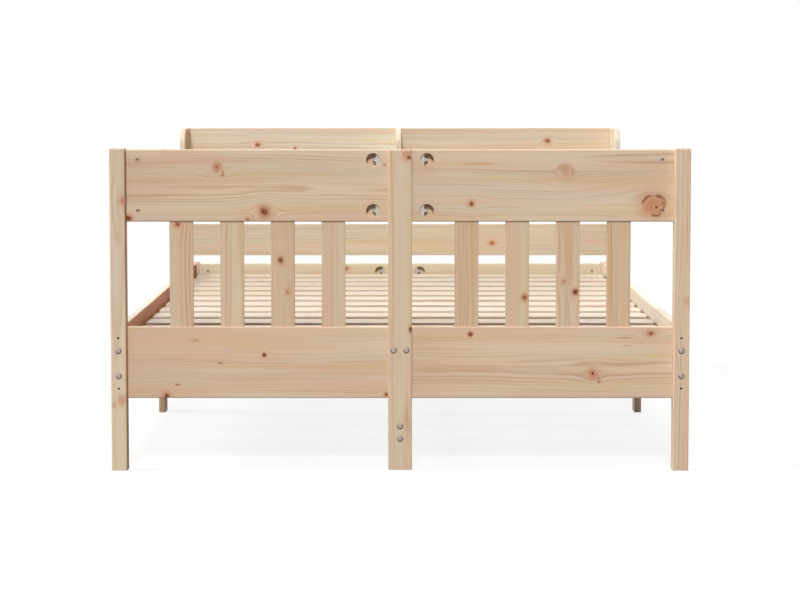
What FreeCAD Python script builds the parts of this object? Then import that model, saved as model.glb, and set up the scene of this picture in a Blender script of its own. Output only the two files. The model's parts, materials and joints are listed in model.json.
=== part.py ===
import FreeCAD, Part
import math
import os

from FreeCAD import Vector

# Pine double bed with a slatted foot end, a low head end and an open bookcase behind the head.
# All lengths are millimetres. X runs across the bed, Y from the foot end to the head end, and Z is
# up from the floor. The origin is on the floor, under the middle of the whole object.

# Bed frame
BED_WIDTH = 1460.0             # over the outer faces of the corner posts
SIDE_RAIL_LENGTH = 2010.0      # between the posts of the foot end and of the head end
POST_SIZE = 40.0               # square corner posts
FOOT_POST_HEIGHT = 815.0
HEAD_POST_HEIGHT = 368.0
CENTRE_POST_WIDTH = 60.0
CENTRE_POST_DEPTH = 30.0
RAIL_THICKNESS = 20.0
RAIL_HEIGHT = 182.0
RAIL_BOTTOM = 182.0            # floor to the side, head and lower foot rails
UPPER_RAIL_DROP = 3.0          # upper foot rails and centre post below the tops of the corner posts
EDGE_RADIUS = 3.5              # rounded edges of posts and rails

# Balusters between the lower and the upper foot rails
BALUSTERS_PER_HALF = 4
BALUSTER_WIDTH = 60.0
BALUSTER_THICKNESS = 12.0
BALUSTER_GAP = 68.0
BALUSTER_TENON = 12.0          # let into each rail
BALUSTER_EDGE_RADIUS = 2.5
MORTISE_CLEARANCE = 0.2

# Slats and what carries them
SLAT_WIDTH = 100.0
SLAT_THICKNESS = 15.0
SLAT_GAP = 66.0
SLAT_DROP = 34.0               # slat tops below the tops of the side rails
SLAT_END_GAP = 11.0            # slat ends to the side rails
SLAT_EDGE_RADIUS = 2.0
LEDGER_WIDTH = 24.0
LEDGER_HEIGHT = 30.0
GAPS_PER_LEDGER_SCREW = 2      # a ledger screw in every second gap between slats
SUPPORT_THICKNESS = 20.0       # centre beam, stretcher and centre legs
BEAM_WIDTH = 60.0
STRETCHER_HEIGHT = 60.0
STRETCHER_MIDDLE = 96.0        # floor to the middle of the stretcher
LEG_WIDTH = 60.0               # side legs and centre legs
SMALL_EDGE_RADIUS = 2.0

# Bookcase behind the head end
BOOKCASE_SIDE_GAP = 10.0       # corner posts to the bookcase sides, seen from the front
BOOKCASE_DEPTH = 210.0
BOOKCASE_HEIGHT = 825.0
PANEL_THICKNESS = 18.0
PANEL_CORNER_RADIUS = 50.0     # front top corner of the sides and the divider
PANEL_EDGE_RADIUS = 2.0
SHELF_TOP = 608.0
DIVIDER_OFFSET = -5.0          # middle of the divider from the middle of the bed
HEADREST_BOTTOM = 390.0
HEADREST_HEIGHT = 107.0
TIE_RAIL_HEIGHT = 60.0
TIE_RAIL_DROP = 12.0           # tie rail below the lower bolts of the head rails

# Bolts with low round heads and barrel nuts
BOLT_DIAMETER = 6.0
BOLT_HEAD_DIAMETER = 16.0
BOLT_HEAD_HEIGHT = 3.5
BOLT_HEAD_RADIUS = 1.6         # rounded rim of the head
BOLT_SOCKET_FLATS = 5.0
BOLT_SOCKET_DEPTH = 2.2
BOLT_END = 8.0                 # bolt past the middle of its barrel nut
BOLT_CLEARANCE = 0.6           # on the diameter, in wood
THREAD_CLEARANCE = 0.2         # on the diameter, in steel
BORE_SPARE = 3.0               # bore past the end of a bolt
BARREL_DIAMETER = 10.0
BARREL_INSET = 30.0            # barrel nut from the end of its board
BARREL_RECESS = 5.0            # barrel nut below the board's face
BARREL_SLOT = 1.4
BARREL_CLEARANCE = 0.2         # on the diameter
SIDE_BOLT_SPACING = 64.0       # the two bolts at each end of a side rail
RAIL_BOLT_EDGE = 27.0          # bolts and rods from the edges of the foot and head rails
BEAM_BOLT_SPACING = 32.0
STRETCHER_BOLT_SPACING = 32.0
LOCATING_HOLE_DIAMETER = 6.0   # blind holes in the front of the foot posts
LOCATING_HOLE_DEPTH = 12.0

# Rods that draw two rails against a centre post, with half-moon washers in round recesses
RECESS_DIAMETER = 34.0
RECESS_INSET = 38.0            # middle of a recess from the rail's inner end
RECESS_FLOOR = 4.0             # wood left behind a recess
RECESS_CHAMFER = 1.0           # eased edge round the mouth of a recess
WASHER_THICKNESS = 10.0        # from the curved side to the flat side
WASHER_CLEARANCE = 0.2
ROD_NUT_FLATS = 10.0
ROD_NUT_THICKNESS = 5.0
ROD_END = 3.0                  # rod past its nut

# Wood screws and dowels
WOOD_SCREW_LENGTH = 35.0
WOOD_SCREW_DIAMETER = 4.0
WOOD_SCREW_HEAD = 8.0
PANEL_SCREW_LENGTH = 50.0
PANEL_SCREW_DIAMETER = 5.0
PANEL_SCREW_HEAD = 10.0
PANEL_SCREW_EDGE = 28.0        # panel screws from the edges of the boards that they hold
SHELF_SCREW_SPACING = 250.0    # from the shelf up into the back panels
SCREW_CLEARANCE = 0.1          # on the diameter
SCREW_CROSS_WIDTH = 1.2
SCREW_CROSS_DEPTH = 1.6
DOWEL_DIAMETER = 8.0
DOWEL_LENGTH = 40.0
DOWEL_SPACING = 32.0           # the two dowels of a side leg
DOWEL_CLEARANCE = 0.1          # on the diameter

X_AXIS = Vector(1, 0, 0)
Y_AXIS = Vector(0, 1, 0)
Z_AXIS = Vector(0, 0, 1)
SIDES = (("left", -1), ("right", 1))
SKEW_ALLOWED = 0.001           # sine of the angle between an edge and the axis that it runs along

# Planes from the foot end to the head end
WHOLE_LENGTH = BOLT_HEAD_HEIGHT + 2 * POST_SIZE + SIDE_RAIL_LENGTH + BOOKCASE_DEPTH
FOOT_FRONT = BOLT_HEAD_HEIGHT - WHOLE_LENGTH / 2
FOOT_BACK = FOOT_FRONT + POST_SIZE
HEAD_FRONT = FOOT_BACK + SIDE_RAIL_LENGTH
HEAD_BACK = HEAD_FRONT + POST_SIZE
BOOK_FRONT = HEAD_BACK
BOOK_BACK = BOOK_FRONT + BOOKCASE_DEPTH
FOOT_RAIL_Y = FOOT_BACK - RAIL_THICKNESS / 2
HEAD_RAIL_Y = HEAD_FRONT + RAIL_THICKNESS / 2
FOOT_CENTRE_FRONT = FOOT_BACK - CENTRE_POST_DEPTH
HEAD_CENTRE_BACK = HEAD_FRONT + CENTRE_POST_DEPTH
MIDDLE_Y = FOOT_BACK + SIDE_RAIL_LENGTH / 2
SLAT_PITCH = SLAT_WIDTH + SLAT_GAP
SLAT_COUNT = int(SIDE_RAIL_LENGTH // SLAT_PITCH)

# Distances from the middle plane of the bed
POST_OUTSIDE = BED_WIDTH / 2
POST_MIDDLE = POST_OUTSIDE - POST_SIZE / 2
POST_INSIDE = POST_OUTSIDE - POST_SIZE
CENTRE_POST_SIDE = CENTRE_POST_WIDTH / 2
SIDE_RAIL_INSIDE = POST_MIDDLE - RAIL_THICKNESS / 2
SIDE_RAIL_OUTSIDE = POST_MIDDLE + RAIL_THICKNESS / 2
LEDGER_INSIDE = SIDE_RAIL_INSIDE - LEDGER_WIDTH
SLAT_END = SIDE_RAIL_INSIDE - SLAT_END_GAP
BOOK_INSIDE = POST_OUTSIDE + BOOKCASE_SIDE_GAP
BOOK_OUTSIDE = BOOK_INSIDE + PANEL_THICKNESS

# Heights above the floor
RAIL_TOP = RAIL_BOTTOM + RAIL_HEIGHT
RAIL_MIDDLE = RAIL_BOTTOM + RAIL_HEIGHT / 2
UPPER_RAIL_TOP = FOOT_POST_HEIGHT - UPPER_RAIL_DROP
UPPER_RAIL_BOTTOM = UPPER_RAIL_TOP - RAIL_HEIGHT
LOWER_BOLT_HEIGHTS = (RAIL_BOTTOM + RAIL_BOLT_EDGE, RAIL_TOP - RAIL_BOLT_EDGE)
UPPER_BOLT_HEIGHTS = (UPPER_RAIL_BOTTOM + RAIL_BOLT_EDGE, UPPER_RAIL_TOP - RAIL_BOLT_EDGE)
SLAT_TOP = RAIL_TOP - SLAT_DROP
SLAT_UNDERSIDE = SLAT_TOP - SLAT_THICKNESS
BEAM_UNDERSIDE = SLAT_UNDERSIDE - SUPPORT_THICKNESS
SHELF_UNDERSIDE = SHELF_TOP - PANEL_THICKNESS
HEADREST_TOP = HEADREST_BOTTOM + HEADREST_HEIGHT
TIE_RAIL_TOP = LOWER_BOLT_HEIGHTS[0] - TIE_RAIL_DROP
TIE_RAIL_BOTTOM = TIE_RAIL_TOP - TIE_RAIL_HEIGHT

boards = {}       # each board's solid before it is drilled
cuts = {}         # what is drilled or cut out of each board
fasteners = {}    # groups of separate fasteners


# Shapes

def block(x, y, z):
    """A box between two limits on each axis, given in any order."""
    low = Vector(min(x), min(y), min(z))
    high = Vector(max(x), max(y), max(z))
    size = high - low
    return Part.makeBox(size.x, size.y, size.z, low)


def block_about(centre, half):
    """A box about a point, from its half sizes as a vector."""
    return block((centre.x - half.x, centre.x + half.x), (centre.y - half.y, centre.y + half.y),
                 (centre.z - half.z, centre.z + half.z))


def cylinder(start, direction, diameter, length):
    return Part.makeCylinder(diameter / 2, length, start, direction)


def edges_along(shape, axis):
    """The straight edges of a shape that run along an axis."""
    return [edge for edge in shape.Edges
            if edge.tangentAt(edge.FirstParameter).cross(axis).Length < SKEW_ALLOWED]


def rounded_along(shape, axis, radius):
    return shape.makeFillet(radius, edges_along(shape, axis))


def rounded_post(x, y, height):
    """An upright with rounded corners and a rounded top."""
    solid = block(x, y, (0, height))
    top = [edge for edge in solid.Edges if edge.BoundBox.ZMin > height - EDGE_RADIUS]
    return solid.makeFillet(EDGE_RADIUS, edges_along(solid, Z_AXIS) + top)


def hexagon(centre, axis, corner_axis, flats, length):
    """A hexagonal prism with two corners on corner_axis."""
    other_axis = axis.cross(corner_axis)
    reach = flats / math.sqrt(3)
    corners = []
    for step in range(7):
        angle = math.radians(60 * step)
        turned = corner_axis * math.cos(angle) + other_axis * math.sin(angle)
        corners.append(centre + turned * reach)
    return Part.Face(Part.makePolygon(corners)).extrude(axis * length)


def placed(solid, point, direction):
    """A copy of a fastener, which is made along Z, at a point and along a direction."""
    copy = solid.copy()
    copy.Placement = FreeCAD.Placement(point, FreeCAD.Rotation(Z_AXIS, direction))
    return copy


def absolute(vector):
    return Vector(abs(vector.x), abs(vector.y), abs(vector.z))


# Parts list

def add_board(name, solid):
    boards[name] = solid
    cuts[name] = []


def cut_from(names, cutter):
    for name in names:
        cuts[name].append(cutter)


def add_fastener(group, solid):
    fasteners.setdefault(group, []).append(solid)


# Fasteners

def bolt(length):
    """A bolt along Z with its head below the origin."""
    head = cylinder(Vector(0, 0, -BOLT_HEAD_HEIGHT), Z_AXIS, BOLT_HEAD_DIAMETER, BOLT_HEAD_HEIGHT)
    rim = [edge for edge in head.Edges if edge.BoundBox.ZMax < -BOLT_HEAD_HEIGHT / 2]
    head = head.makeFillet(BOLT_HEAD_RADIUS, rim)
    socket = hexagon(Vector(0, 0, -BOLT_HEAD_HEIGHT), Z_AXIS, X_AXIS, BOLT_SOCKET_FLATS, BOLT_SOCKET_DEPTH)
    return head.fuse(cylinder(Vector(), Z_AXIS, BOLT_DIAMETER, length)).cut(socket)


def screw(length, diameter, head, clearance=0.0):
    """A countersunk screw along Z, flush at the origin, or the hole for it with a clearance."""
    core = (diameter + clearance) / 2
    rim = (head + clearance) / 2
    profile = [Vector(0, 0, 0), Vector(rim, 0, 0), Vector(core, 0, rim - core),
               Vector(core, 0, length - core), Vector(0, 0, length + clearance), Vector(0, 0, 0)]
    return Part.Face(Part.makePolygon(profile)).revolve(Vector(), Z_AXIS, 360)


def cross_head(solid, head):
    """A screw with a cross cut into its head."""
    long_half = head * 0.3
    for half in (Vector(long_half, SCREW_CROSS_WIDTH / 2, SCREW_CROSS_DEPTH),
                 Vector(SCREW_CROSS_WIDTH / 2, long_half, SCREW_CROSS_DEPTH)):
        solid = solid.cut(block_about(Vector(), half))
    return solid


def drive_screw(group, point, direction, names, length, diameter, head):
    """A screw flush at a point, and its hole through the boards that it joins."""
    add_fastener(group, placed(cross_head(screw(length, diameter, head), head), point, direction))
    cut_from(names, placed(screw(length, diameter, head, SCREW_CLEARANCE), point, direction))


def wood_screw(point, direction, *names):
    drive_screw("wood_screws", point, direction, names, WOOD_SCREW_LENGTH, WOOD_SCREW_DIAMETER,
                WOOD_SCREW_HEAD)


def panel_screw(point, direction, *names):
    drive_screw("bookcase_screws", point, direction, names, PANEL_SCREW_LENGTH, PANEL_SCREW_DIAMETER,
                PANEL_SCREW_HEAD)


def dowel(middle, axis, *names):
    start = middle - axis * (DOWEL_LENGTH / 2)
    add_fastener("dowels", cylinder(start, axis, DOWEL_DIAMETER, DOWEL_LENGTH))
    cut_from(names, cylinder(start, axis, DOWEL_DIAMETER + DOWEL_CLEARANCE, DOWEL_LENGTH))


def bolted(group, seat, direction, post, post_depth, board, board_thickness, nut_side):
    """A bolt through a post into the end of a board, where a barrel nut lies across it.

    nut_side points out of the face of the board that the barrel nut goes in by.
    """
    length = post_depth + BARREL_INSET + BOLT_END
    add_fastener(group, placed(bolt(length), seat, direction))
    cut_from((post, board), cylinder(seat, direction, BOLT_DIAMETER + BOLT_CLEARANCE, length + BORE_SPARE))

    crossing = seat + direction * (post_depth + BARREL_INSET)
    half_length = board_thickness / 2 - BARREL_RECESS
    foot = crossing - nut_side * half_length
    thread = cylinder(crossing - direction * BARREL_DIAMETER, direction, BOLT_DIAMETER + THREAD_CLEARANCE,
                      2 * BARREL_DIAMETER)
    slot_across = direction.cross(nut_side) * (BARREL_SLOT / 2)
    slot_half = absolute(direction * BARREL_DIAMETER + nut_side * BARREL_SLOT + slot_across)
    slot = block_about(crossing + nut_side * half_length, slot_half)
    barrel = cylinder(foot, nut_side, BARREL_DIAMETER, 2 * half_length)
    add_fastener("barrel_nuts", barrel.cut([thread, slot]))
    cut_from((board,), cylinder(foot, nut_side, BARREL_DIAMETER + BARREL_CLEARANCE, board_thickness))


def rod_between(left, right, post, rail_y, height, recess_side):
    """A threaded rod through a centre post, with a half-moon washer and a nut in a recess in each rail.

    recess_side points out of the face of the rails that the recesses are cut in.
    """
    recess_x = CENTRE_POST_SIDE + RECESS_INSET
    wall_x = recess_x - RECESS_DIAMETER / 2
    nut_x = wall_x + WASHER_THICKNESS
    half_rod = nut_x + ROD_NUT_THICKNESS + ROD_END
    below_axis = RAIL_THICKNESS / 2 - RECESS_FLOOR
    thread_diameter = BOLT_DIAMETER + THREAD_CLEARANCE
    axis_start = Vector(-recess_x, rail_y, height)

    rod_start = Vector(-half_rod, rail_y, height)
    add_fastener("centre_rods", cylinder(rod_start, X_AXIS, BOLT_DIAMETER, 2 * half_rod))
    cut_from((left, right, post), cylinder(axis_start, X_AXIS, BOLT_DIAMETER + BOLT_CLEARANCE, 2 * recess_x))
    thread = cylinder(axis_start, X_AXIS, thread_diameter, 2 * recess_x)

    for rail, side in ((left, -1), (right, 1)):
        floor_centre = Vector(side * recess_x, rail_y, height) - recess_side * below_axis
        cut_from((rail,), cylinder(floor_centre, recess_side, RECESS_DIAMETER, RAIL_THICKNESS))
        mouth = Vector(side * recess_x, rail_y, height) + recess_side * (RAIL_THICKNESS / 2)
        cut_from((rail,), Part.makeCone(RECESS_DIAMETER / 2 + RECESS_CHAMFER, RECESS_DIAMETER / 2,
                                        RECESS_CHAMFER, mouth, -recess_side))
        disc = cylinder(floor_centre, recess_side, RECESS_DIAMETER - WASHER_CLEARANCE, 2 * below_axis)
        kept = block((side * wall_x, side * nut_x), (rail_y - RECESS_DIAMETER, rail_y + RECESS_DIAMETER),
                     (height - RECESS_DIAMETER, height + RECESS_DIAMETER))
        add_fastener("half_moon_washers", disc.common(kept).cut(thread))
        seat = Vector(side * nut_x, rail_y, height)
        nut = hexagon(seat, X_AXIS * side, Z_AXIS, ROD_NUT_FLATS, ROD_NUT_THICKNESS)
        add_fastener("rod_nuts", nut.cut(thread))


# Bed frame

def end_rails(name, rail_y, bottom, bolt_heights, bolt_y, recess_side, posts, centre_post):
    """Two rails between the posts of one end, bolted to the corner posts and drawn to the centre post."""
    rails = {}
    thickness = (rail_y - RAIL_THICKNESS / 2, rail_y + RAIL_THICKNESS / 2)
    for side_name, side in SIDES:
        rail = name + "_" + side_name
        rails[side_name] = rail
        across = (side * CENTRE_POST_SIDE, side * POST_INSIDE)
        solid = block(across, thickness, (bottom, bottom + RAIL_HEIGHT))
        add_board(rail, rounded_along(solid, X_AXIS, EDGE_RADIUS))
        for height in bolt_heights:
            seat = Vector(side * POST_OUTSIDE, bolt_y, height)
            bolted("corner_bolts", seat, X_AXIS * -side, posts + "_" + side_name, POST_SIZE, rail,
                   RAIL_THICKNESS, recess_side)
    for height in bolt_heights:
        rod_between(rails["left"], rails["right"], centre_post, rail_y, height, recess_side)


def end_posts():
    for side_name, side in SIDES:
        across = (side * POST_INSIDE, side * POST_OUTSIDE)
        foot_post = "foot_post_" + side_name
        add_board(foot_post, rounded_post(across, (FOOT_FRONT, FOOT_BACK), FOOT_POST_HEIGHT))
        add_board("head_post_" + side_name, rounded_post(across, (HEAD_FRONT, HEAD_BACK), HEAD_POST_HEIGHT))
        for height in LOWER_BOLT_HEIGHTS:
            mouth = Vector(side * POST_MIDDLE, FOOT_FRONT, height)
            cut_from((foot_post,), cylinder(mouth, Y_AXIS, LOCATING_HOLE_DIAMETER, LOCATING_HOLE_DEPTH))
    across = (-CENTRE_POST_SIDE, CENTRE_POST_SIDE)
    add_board("foot_centre_post", rounded_post(across, (FOOT_CENTRE_FRONT, FOOT_BACK), UPPER_RAIL_TOP))
    add_board("head_centre_post", rounded_post(across, (HEAD_FRONT, HEAD_CENTRE_BACK), RAIL_TOP))


def balusters():
    """Upright boards between the lower and the upper foot rails, let into both."""
    pitch = BALUSTER_WIDTH + BALUSTER_GAP
    bay_middle = (CENTRE_POST_SIDE + POST_INSIDE) / 2
    first = -pitch * (BALUSTERS_PER_HALF - 1) / 2
    thickness = (FOOT_RAIL_Y - BALUSTER_THICKNESS / 2, FOOT_RAIL_Y + BALUSTER_THICKNESS / 2)
    height = (RAIL_TOP - BALUSTER_TENON, UPPER_RAIL_BOTTOM + BALUSTER_TENON)
    number = 0
    for side_name, side in SIDES:
        for place in range(BALUSTERS_PER_HALF):
            number += 1
            middle = side * bay_middle + first + place * pitch
            solid = block((middle - BALUSTER_WIDTH / 2, middle + BALUSTER_WIDTH / 2), thickness, height)
            add_board("baluster_%d" % number, rounded_along(solid, Z_AXIS, BALUSTER_EDGE_RADIUS))
            room = Vector(BALUSTER_WIDTH / 2, BALUSTER_THICKNESS / 2, BALUSTER_TENON)
            room = room + Vector(1, 1, 1) * MORTISE_CLEARANCE
            for rail, edge in (("foot_lower_rail_", RAIL_TOP), ("foot_upper_rail_", UPPER_RAIL_BOTTOM)):
                cut_from((rail + side_name,), block_about(Vector(middle, FOOT_RAIL_Y, edge), room))


def side_rails():
    """Rails from end to end, with a ledger inside and a leg under the middle of each."""
    ledger_start = FOOT_BACK + BARREL_INSET + BARREL_DIAMETER
    ledger_end = HEAD_FRONT - BARREL_INSET - BARREL_DIAMETER
    for side_name, side in SIDES:
        rail = "side_rail_" + side_name
        ledger = "ledger_" + side_name
        leg = "side_leg_" + side_name
        across = (side * SIDE_RAIL_INSIDE, side * SIDE_RAIL_OUTSIDE)
        solid = block(across, (FOOT_BACK, HEAD_FRONT), (RAIL_BOTTOM, RAIL_TOP))
        add_board(rail, rounded_along(solid, Y_AXIS, EDGE_RADIUS))
        solid = block((side * LEDGER_INSIDE, side * SIDE_RAIL_INSIDE), (ledger_start, ledger_end),
                      (SLAT_UNDERSIDE - LEDGER_HEIGHT, SLAT_UNDERSIDE))
        add_board(ledger, solid)
        solid = block(across, (MIDDLE_Y - LEG_WIDTH / 2, MIDDLE_Y + LEG_WIDTH / 2), (0, RAIL_BOTTOM))
        add_board(leg, rounded_along(solid, Z_AXIS, SMALL_EDGE_RADIUS))

        for height in (RAIL_MIDDLE - SIDE_BOLT_SPACING / 2, RAIL_MIDDLE + SIDE_BOLT_SPACING / 2):
            foot_seat = Vector(side * POST_MIDDLE, FOOT_FRONT, height)
            head_seat = Vector(side * POST_MIDDLE, HEAD_BACK, height)
            inwards = X_AXIS * -side
            bolted("corner_bolts", foot_seat, Y_AXIS, "foot_post_" + side_name, POST_SIZE, rail,
                   RAIL_THICKNESS, inwards)
            bolted("corner_bolts", head_seat, -Y_AXIS, "head_post_" + side_name, POST_SIZE, rail,
                   RAIL_THICKNESS, inwards)
        for number in range(1, SLAT_COUNT, GAPS_PER_LEDGER_SCREW):
            y = FOOT_BACK + SLAT_GAP / 2 + number * SLAT_PITCH
            point = Vector(side * LEDGER_INSIDE, y, SLAT_UNDERSIDE - LEDGER_HEIGHT / 2)
            wood_screw(point, X_AXIS * side, ledger, rail)
        for y in (MIDDLE_Y - DOWEL_SPACING / 2, MIDDLE_Y + DOWEL_SPACING / 2):
            dowel(Vector(side * POST_MIDDLE, y, RAIL_BOTTOM), Z_AXIS, leg, rail)


def centre_support():
    """A flat beam under the slats, a stretcher near the floor and a pair of legs in the middle."""
    half = SUPPORT_THICKNESS / 2
    solid = block((-BEAM_WIDTH / 2, BEAM_WIDTH / 2), (FOOT_BACK, HEAD_FRONT),
                  (BEAM_UNDERSIDE, SLAT_UNDERSIDE))
    add_board("centre_beam", rounded_along(solid, Y_AXIS, SMALL_EDGE_RADIUS))
    solid = block((-half, half), (FOOT_BACK, HEAD_FRONT),
                  (STRETCHER_MIDDLE - STRETCHER_HEIGHT / 2, STRETCHER_MIDDLE + STRETCHER_HEIGHT / 2))
    add_board("lower_stretcher", rounded_along(solid, Y_AXIS, SMALL_EDGE_RADIUS))

    ends = (("foot_centre_post", FOOT_CENTRE_FRONT, Y_AXIS), ("head_centre_post", HEAD_CENTRE_BACK, -Y_AXIS))
    for post, seat_y, inwards in ends:
        for x in (-BEAM_BOLT_SPACING / 2, BEAM_BOLT_SPACING / 2):
            seat = Vector(x, seat_y, BEAM_UNDERSIDE + half)
            bolted("centre_bolts", seat, inwards, post, CENTRE_POST_DEPTH, "centre_beam", SUPPORT_THICKNESS,
                   -Z_AXIS)
        for offset in (-STRETCHER_BOLT_SPACING / 2, STRETCHER_BOLT_SPACING / 2):
            seat = Vector(0, seat_y, STRETCHER_MIDDLE + offset)
            bolted("centre_bolts", seat, inwards, post, CENTRE_POST_DEPTH, "lower_stretcher",
                   SUPPORT_THICKNESS, X_AXIS)

    for side_name, side in SIDES:
        leg = "centre_leg_" + side_name
        solid = block((side * half, side * 3 * half), (MIDDLE_Y - LEG_WIDTH / 2, MIDDLE_Y + LEG_WIDTH / 2),
                      (0, BEAM_UNDERSIDE))
        add_board(leg, rounded_along(solid, Z_AXIS, SMALL_EDGE_RADIUS))
        aside = side * LEG_WIDTH / 4
        wood_screw(Vector(side * 2 * half, MIDDLE_Y, SLAT_UNDERSIDE), -Z_AXIS, "centre_beam", leg)
        for offset in (-STRETCHER_HEIGHT / 4, STRETCHER_HEIGHT / 4):
            point = Vector(side * 3 * half, MIDDLE_Y + aside, STRETCHER_MIDDLE + offset)
            wood_screw(point, X_AXIS * -side, leg, "lower_stretcher")


def slats():
    """Boards across the bed on the ledgers and the centre beam, with a screw at each end."""
    screw_x = (SLAT_END + LEDGER_INSIDE) / 2
    for number in range(SLAT_COUNT):
        name = "slat_%02d" % (number + 1)
        start = FOOT_BACK + SLAT_GAP + number * SLAT_PITCH
        solid = block((-SLAT_END, SLAT_END), (start, start + SLAT_WIDTH), (SLAT_UNDERSIDE, SLAT_TOP))
        add_board(name, rounded_along(solid, X_AXIS, SLAT_EDGE_RADIUS))
        for side_name, side in SIDES:
            point = Vector(side * screw_x, start + SLAT_WIDTH / 2, SLAT_TOP)
            wood_screw(point, -Z_AXIS, name, "ledger_" + side_name)


# Bookcase

def upright_panel(x, y, bottom):
    """A panel on edge with its front top corner cut to a quarter round and its outline eased."""
    solid = block(x, y, (bottom, BOOKCASE_HEIGHT))
    front_top = [edge for edge in edges_along(solid, X_AXIS)
                 if edge.BoundBox.ZMin > bottom + PANEL_CORNER_RADIUS
                 and edge.BoundBox.YMax < max(y) - PANEL_CORNER_RADIUS]
    solid = solid.makeFillet(PANEL_CORNER_RADIUS, front_top)
    outline = [edge for edge in solid.Edges
               if edge.BoundBox.XLength < PANEL_EDGE_RADIUS
               and edge.BoundBox.ZMax > bottom + PANEL_EDGE_RADIUS
               and edge.BoundBox.YMin < max(y) - PANEL_EDGE_RADIUS]
    return solid.makeFillet(PANEL_EDGE_RADIUS, outline)


def bookcase():
    inside = (-BOOK_INSIDE, BOOK_INSIDE)
    depth = (BOOK_FRONT, BOOK_BACK)
    front_board = (BOOK_FRONT, BOOK_FRONT + PANEL_THICKNESS)
    back_board = (BOOK_BACK - PANEL_THICKNESS, BOOK_BACK)
    front_y = BOOK_FRONT + PANEL_THICKNESS / 2
    back_y = BOOK_BACK - PANEL_THICKNESS / 2
    divider_left = DIVIDER_OFFSET - PANEL_THICKNESS / 2
    divider_right = DIVIDER_OFFSET + PANEL_THICKNESS / 2

    solid = block(inside, depth, (SHELF_UNDERSIDE, SHELF_TOP))
    add_board("bookcase_shelf", solid)
    solid = block(inside, front_board, (HEADREST_BOTTOM, HEADREST_TOP))
    add_board("bookcase_headrest_board", rounded_along(solid, X_AXIS, PANEL_EDGE_RADIUS))
    solid = block(inside, front_board, (TIE_RAIL_BOTTOM, TIE_RAIL_TOP))
    add_board("bookcase_tie_rail", rounded_along(solid, X_AXIS, PANEL_EDGE_RADIUS))
    add_board("bookcase_divider", upright_panel((divider_left, divider_right), depth, SHELF_TOP))
    leg_y = (front_board[1], front_board[1] + PANEL_THICKNESS)
    solid = block((-LEG_WIDTH / 2, LEG_WIDTH / 2), leg_y, (0, SHELF_UNDERSIDE))
    add_board("bookcase_centre_leg", rounded_along(solid, Z_AXIS, PANEL_EDGE_RADIUS))

    headrest_screws = (HEADREST_BOTTOM + PANEL_SCREW_EDGE, HEADREST_TOP - PANEL_SCREW_EDGE)
    tie_rail_screws = (TIE_RAIL_BOTTOM + TIE_RAIL_HEIGHT / 4, TIE_RAIL_TOP - TIE_RAIL_HEIGHT / 4)
    back_screws = (SHELF_TOP + PANEL_SCREW_EDGE, BOOKCASE_HEIGHT - PANEL_SCREW_EDGE)
    shelf_screws = (BOOK_FRONT + PANEL_SCREW_EDGE, (BOOK_FRONT + BOOK_BACK) / 2,
                    back_board[0] - PANEL_SCREW_EDGE)
    front_boards = (("bookcase_headrest_board", front_y, headrest_screws),
                    ("bookcase_tie_rail", front_y, tie_rail_screws))
    for side_name, side in SIDES:
        panel = "bookcase_side_" + side_name
        back = "bookcase_back_" + side_name
        inwards = X_AXIS * -side
        divider_face = divider_left if side < 0 else divider_right
        add_board(panel, upright_panel((side * BOOK_INSIDE, side * BOOK_OUTSIDE), depth, 0))
        solid = block((side * BOOK_INSIDE, divider_face), back_board, (SHELF_TOP, BOOKCASE_HEIGHT))
        top = [edge for edge in edges_along(solid, X_AXIS)
               if edge.BoundBox.ZMin > SHELF_TOP + PANEL_EDGE_RADIUS]
        add_board(back, solid.makeFillet(PANEL_EDGE_RADIUS, top))

        for board, y, heights in front_boards + ((back, back_y, back_screws),):
            for height in heights:
                panel_screw(Vector(side * BOOK_OUTSIDE, y, height), inwards, panel, board)
        for y in shelf_screws:
            point = Vector(side * BOOK_OUTSIDE, y, SHELF_TOP - PANEL_THICKNESS / 2)
            panel_screw(point, inwards, panel, "bookcase_shelf")
        for number in (1, 2):
            point = Vector(side * number * SHELF_SCREW_SPACING, back_y, SHELF_UNDERSIDE)
            panel_screw(point, Z_AXIS, "bookcase_shelf", back)
        for aside in (-POST_SIZE / 4, POST_SIZE / 4):
            point = Vector(side * POST_MIDDLE + aside, front_board[1], (TIE_RAIL_BOTTOM + TIE_RAIL_TOP) / 2)
            panel_screw(point, -Y_AXIS, "bookcase_tie_rail", "head_post_" + side_name)
        point = Vector(side * LEG_WIDTH / 3, (leg_y[0] + leg_y[1]) / 2, SHELF_TOP)
        panel_screw(point + X_AXIS * DIVIDER_OFFSET, -Z_AXIS, "bookcase_shelf", "bookcase_centre_leg")

    for y in (leg_y[1] + PANEL_SCREW_EDGE, back_board[0] - PANEL_SCREW_EDGE):
        panel_screw(Vector(DIVIDER_OFFSET, y, SHELF_UNDERSIDE), Z_AXIS, "bookcase_shelf", "bookcase_divider")
    for board, y, heights in front_boards:
        for height in heights:
            wood_screw(Vector(0, BOOK_FRONT, height), Y_AXIS, board, "bookcase_centre_leg")
    for height in (SHELF_TOP + 2 * PANEL_SCREW_EDGE, BOOKCASE_HEIGHT - 2 * PANEL_SCREW_EDGE):
        dowel(Vector(DIVIDER_OFFSET, back_y, height), X_AXIS, "bookcase_divider", "bookcase_back_left",
              "bookcase_back_right")


def write_parts():
    os.makedirs("parts", exist_ok=True)
    for name, solid in boards.items():
        finished = solid.cut(cuts[name]) if cuts[name] else solid
        if len(finished.Solids) != 1 or not finished.isValid():
            raise ValueError(name + " is not one sound solid")
        finished.Solids[0].exportStep("parts/" + name + ".step")
    for group, solids in fasteners.items():
        Part.makeCompound([piece.Solids[0] for piece in solids]).exportStep("parts/" + group + ".step")
        print(group, len(solids))
    print(len(boards) + len(fasteners), "nodes")


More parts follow.
